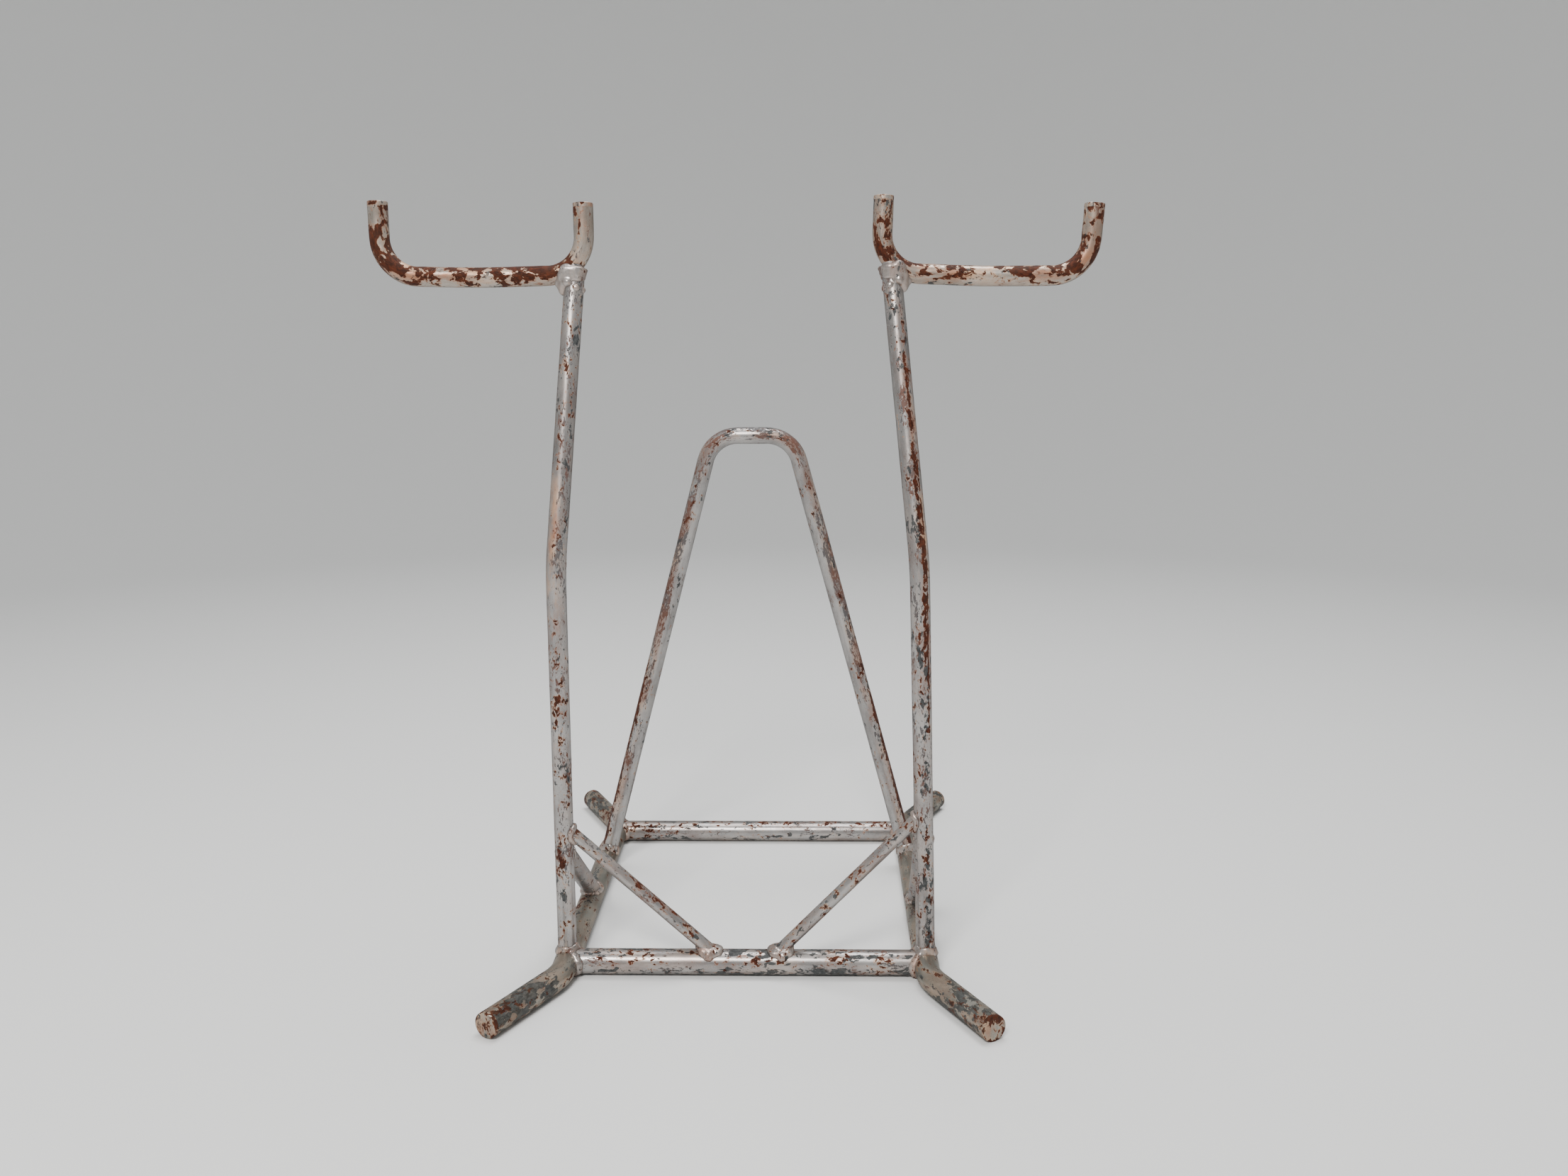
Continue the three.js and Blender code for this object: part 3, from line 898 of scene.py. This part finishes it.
def chipped(n, pattern, amount, edge=CHIP_EDGE):
    """Where the pattern passes a threshold, so that the amount is about the share it covers."""
    threshold = n.math("MULTIPLY_ADD", amount, -COVER_SLOPE, COVER_NONE)
    return n.ramp_between(pattern, threshold, n.math("ADD", threshold, edge)), threshold


def shared_grains(n, stock):
    """The noises that several layers share."""
    return {
        "clouds": n.noise(n.stretched(stock, (1, 1, 0.5), 3.1), 45, 4, 0.6),
        "streaks": n.noise(n.stretched(stock, (1, 1, 0.10), 1.7), 1150, 3, 0.65),
        "grain": n.noise(stock, 1700, 3, 0.7),
        "shade": n.noise(n.stretched(stock, (1, 1, 0.6), 8.8), 330, 5, 0.75),
    }


def paint_faults(n, stock, rust_scale, slate_scale):
    """A mask for each fault and for the painted shade, from its own noise and from how much of it the mesh
    asks for.
    """
    amount = {key: n.attribute(key) for key in WEAR}
    rust_noise = clustered(n, stock, rust_scale, 0.66, 5.3)
    rust, rust_edge = chipped(n, rust_noise, amount["rust"])
    halo = n.ramp_between(rust_noise, n.math("SUBTRACT", rust_edge, HALO_WIDTH), rust_edge)
    slate, _ = chipped(n, clustered(n, stock, slate_scale, 0.58, 9.7), amount["slate"])

    speck_grain = n.noise(n.stretched(stock, (1, 1, 0.42), 2.9), 560, 4, 0.68)
    speck_field = n.noise(n.stretched(stock, (1, 1, 0.35), 7.7), 95, 4, 0.6)
    speck_noise = n.math("MULTIPLY_ADD", speck_field, 0.5, n.math("MULTIPLY", speck_grain, 0.5))
    speckle, _ = chipped(n, speck_noise, amount["speckle"], 1.5 * CHIP_EDGE)

    stain_noise = n.noise(n.stretched(stock, (1, 1, 0.35), 4.4), 75, 5, 0.65)
    stain = n.math("MULTIPLY", amount["stain"], n.ramp_between(stain_noise, 0.38, 0.64))
    stain = n.math("MAXIMUM", stain, n.math("MULTIPLY", halo, 0.80))

    # Dirt on the feet and painted shade on the tubes' undersides share this mask.
    dirt_and_shade_noise = n.noise(n.stretched(stock, (1, 1, 0.7), 6.6), 75, 7, 0.7)
    dirt_and_shade = n.math("MULTIPLY", amount["grime_and_underside_shade"], n.ramp_between(dirt_and_shade_noise, 0.36, 0.60))
    return {"rust": rust, "slate": slate, "speckle": speckle, "stain": stain, "dirt_and_shade": dirt_and_shade}


def layered_colour(n, grains, faults, light, dark):
    """Mottled paint, and over it the faults from the faintest to the strongest, dirt and painted shade
    last.
    """
    clouds, shade = grains["clouds"], grains["shade"]
    tone = n.math("MULTIPLY_ADD", grains["streaks"], 0.28, n.math("MULTIPLY_ADD", clouds, 0.9, -0.34))
    tone = n.math("MULTIPLY_ADD", grains["grain"], 0.55, n.math("SUBTRACT", tone, 0.03))
    colour = n.mix(n.ramp_between(tone, 0.22, 0.72), dark, light)
    layers = [  # fault, how well it covers, what its colour varies with, between which values, its colours
        ("stain", 0.72, clouds, 0.40, 0.62, STAIN_COLOURS),
        ("speckle", 0.85, clouds, 0.42, 0.58, SPECK_COLOURS),
        ("slate", 0.92, shade, 0.35, 0.70, SLATE_COLOURS),
        ("rust", 0.96, shade, 0.36, 0.70, RUST_COLOURS),
        # dirt, and painted shade on the undersides of the tubes
        ("dirt_and_shade", 0.88, shade, 0.38, 0.66, DIRT_AND_SHADE_COLOURS),
    ]
    for fault, cover, pattern, low, high, colours in layers:
        layer = n.mix(n.ramp_between(pattern, low, high), *colours)
        colour = n.mix(n.math("MULTIPLY", faults[fault], cover), colour, layer)
    return colour


def set_shine(n, grains, faults):
    """Bare places and those with dirt or painted shade are dull and not metallic, and stained ones are in
    between.
    """
    bare = faults["rust"]
    for fault, cover in (("speckle", 0.8), ("slate", 0.85), ("dirt_and_shade", 0.9)):
        bare = n.math("MAXIMUM", bare, n.math("MULTIPLY", faults[fault], cover))
    dull = n.math("MAXIMUM", bare, n.math("MULTIPLY", faults["stain"], 0.55))
    clouded = n.math("MULTIPLY_ADD", grains["clouds"], 0.14, 0.18)
    roughness = n.math("MULTIPLY_ADD", grains["streaks"], 0.12, clouded)
    n.link(n.blend(dull, 0.80, 0.0), n.shader.inputs["Metallic"])
    n.link(n.blend(dull, roughness, 0.60), n.shader.inputs["Roughness"])
    n.link(n.blend(bare, 0.5, 0.22), n.shader.inputs["Specular IOR Level"])
    n.shader.inputs["Specular Tint"].default_value = (0.30, 0.30, 0.30, 1.0)


def set_relief(n, grains, faults):
    """Rust is a rough pit, and slate and specks lie a film of paint lower."""
    crust = n.math("MULTIPLY", faults["rust"], n.math("MULTIPLY_ADD", grains["grain"], 1.1, -0.85))
    film = n.math("MULTIPLY_ADD", faults["slate"], -0.45, n.math("MULTIPLY", grains["streaks"], 0.05))
    height = n.math("ADD", n.math("ADD", crust, film), n.math("MULTIPLY", faults["speckle"], -0.3))
    height = n.math("MULTIPLY_ADD", grains["clouds"], 0.35, height)
    bump = n.new("ShaderNodeBump")
    bump.inputs["Strength"].default_value = 0.8
    bump.inputs["Distance"].default_value = 0.00035
    n.link(height, bump.inputs["Height"])
    n.link(bump.outputs["Normal"], n.shader.inputs["Normal"])


def painted_steel(name, light, dark, rust_scale, slate_scale):
    """Silver paint over steel, with slate where it has flaked thin and rust with a stain round it."""
    n = Nodes(name)
    stock = n.attribute("stock", "Vector")
    grains = shared_grains(n, stock)
    faults = paint_faults(n, stock, rust_scale, slate_scale)
    n.link(layered_colour(n, grains, faults, light, dark), n.shader.inputs["Base Color"])
    set_shine(n, grains, faults)
    set_relief(n, grains, faults)
    return n.material


def make_materials():
    return {slot: painted_steel(*recipe) for slot, recipe in PAINTS.items()}


# ------------------------------------------------------------------ stage

def make_stage():
    """A pale round sheet that curves up all round the stand, so that no view has an edge in it."""
    turns, flat_steps, bend_steps = 96, 4, 24
    flat, bend, wall = 3.0, 2.5, 1.5
    profile = [(flat * i / flat_steps, 0.0) for i in range(1, flat_steps + 1)]
    for i in range(1, bend_steps + 1):
        angle = math.pi / 2 * i / bend_steps
        profile.append((flat + bend * math.sin(angle), bend * (1 - math.cos(angle))))
    profile.append((flat + bend, bend + wall))
    vertices, faces = [(0, 0, 0)], []
    for radius, height in profile:
        for j in range(turns):
            angle = 2 * math.pi * j / turns
            vertices.append((radius * math.cos(angle), radius * math.sin(angle), height))
    for j in range(turns):
        faces.append((0, 1 + j, 1 + (j + 1) % turns))
    for i in range(len(profile) - 1):
        for j in range(turns):
            a, b = 1 + i * turns + j, 1 + i * turns + (j + 1) % turns
            faces.append((a, a + turns, b + turns, b))
    mesh = bpy.data.meshes.new("sweep")
    mesh.from_pydata(vertices, [], faces)
    mesh.polygons.foreach_set("use_smooth", [True] * len(mesh.polygons))
    sweep = bpy.data.objects.new("sweep", mesh)
    bpy.context.scene.collection.objects.link(sweep)
    n = Nodes("pale_sheet")
    n.shader.inputs["Base Color"].default_value = (0.74, 0.74, 0.73, 1)
    n.shader.inputs["Roughness"].default_value = 0.95
    n.shader.inputs["Specular IOR Level"].default_value = 0.1
    mesh.materials.append(n.material)


def area_light(name, place, target, size, power, colour):
    data = bpy.data.lights.new(name, "AREA")
    data.shape = "RECTANGLE"
    data.size, data.size_y = size
    data.energy = power
    data.color = colour
    light = bpy.data.objects.new(name, data)
    light.location = place
    light.rotation_euler = (Vector(target) - Vector(place)).to_track_quat("-Z", "Y").to_euler()
    bpy.context.scene.collection.objects.link(light)


def make_lights():
    world = bpy.data.worlds.new("studio")
    world.use_nodes = True
    back = world.node_tree.nodes["Background"]
    back.inputs["Color"].default_value = (0.93, 0.95, 0.97, 1)
    back.inputs["Strength"].default_value = 0.55
    bpy.context.scene.world = world
    area_light("key", (-0.5, -2.3, 2.4), (0, 0, 0.35), (0.9, 0.7), 92, (1.0, 0.985, 0.965))
    area_light("over", (0.2, 0.3, 3.0), (0, 0, 0.2), (1.3, 1.3), 66, (0.98, 0.99, 1.0))


def make_camera():
    """The view from the front, a little to the right of the stand and looking down at it."""
    yaw, pitch, roll = CAMERA_YAW, CAMERA_PITCH, CAMERA_ROLL
    forward = Vector((math.sin(yaw) * math.cos(pitch), math.cos(yaw) * math.cos(pitch), -math.sin(pitch)))
    level = Vector((math.cos(yaw), -math.sin(yaw), 0))
    below = forward.cross(level)
    right = level * math.cos(roll) + below * math.sin(roll)
    down = below * math.cos(roll) - level * math.sin(roll)
    data = bpy.data.cameras.new("camera")
    data.sensor_width = CAMERA_SENSOR
    data.lens = CAMERA_LENS
    data.clip_start = 0.05
    data.clip_end = 200
    camera = bpy.data.objects.new("camera", data)
    camera.matrix_world = Matrix((
        (right.x, -down.x, -forward.x, CAMERA_PLACE.x),
        (right.y, -down.y, -forward.y, CAMERA_PLACE.y),
        (right.z, -down.z, -forward.z, CAMERA_PLACE.z),
        (0, 0, 0, 1),
    ))
    bpy.context.scene.collection.objects.link(camera)
    bpy.context.scene.camera = camera


# ------------------------------------------------------------------ build

def make_ends(side, index, members, materials):
    """The discs that close the feet of a rail and the prongs of a cradle."""
    name = side["name"]
    rail, cradle = members[f"rail_{name}"].corners, members[f"cradle_{name}"].corners
    ends = [
        (f"foot_cap_{name}_front", rail[0], rail[1], MAIN_R, "worn_paint"),
        (f"foot_cap_{name}_rear", rail[-1], rail[-2], MAIN_R, "worn_paint"),
        (f"cradle_cap_{name}_inner", cradle[0], cradle[1], FRAME_R, "rusty_paint"),
        (f"cradle_cap_{name}_outer", cradle[-1], cradle[-2], FRAME_R, "rusty_paint"),
    ]
    for seed, (node, end, inner, radius, slot) in enumerate(ends, start=3 * index + 1):
        outward = (end - inner).normalized()
        make_cap(node, end + outward * CAP_THICKNESS, outward, radius, seed, slot, materials)


def make_welds(side, index, members, materials):
    name = side["name"]
    for seed, job in enumerate(weld_jobs(members, side), start=10 * index + 1):
        label, joints, leg, climb, lift, ripples = job
        seams = [(branch, seam(branch, hosts)) for branch, hosts in joints]
        branch, (points, own, host_normals) = seams[0]
        if label == "cradle":
            points = slide_down(branch, points, SEAT_HEIGHT + CRADLE_WELD_TOP)
            seams = [(branch, (points, own, host_normals))]
        blobs = spatter(branch, points, own, seed, leg)
        heavy = Vector((0, 0, 0))
        if label == "cradle":
            heavy.x = side["sign"] * CRADLE_WELD_SIDE
            blobs += collar_lumps(side, members[f"upright_{name}"])
        if label == "front_brace_foot":
            blobs += knob_lumps(members[f"front_brace_{name}"])
        make_weld(f"weld_{label}_{name}", seams, leg, climb, lift, heavy, seed, ripples, blobs, materials)


make_camera()
make_lights()
make_stage()
materials = make_materials()
members = all_members()
for number, member in enumerate(members.values(), start=1):
    make_tube(member, number, materials)
for index, side in enumerate(SIDES):
    make_ends(side, index, members, materials)
    make_welds(side, index, members, materials)
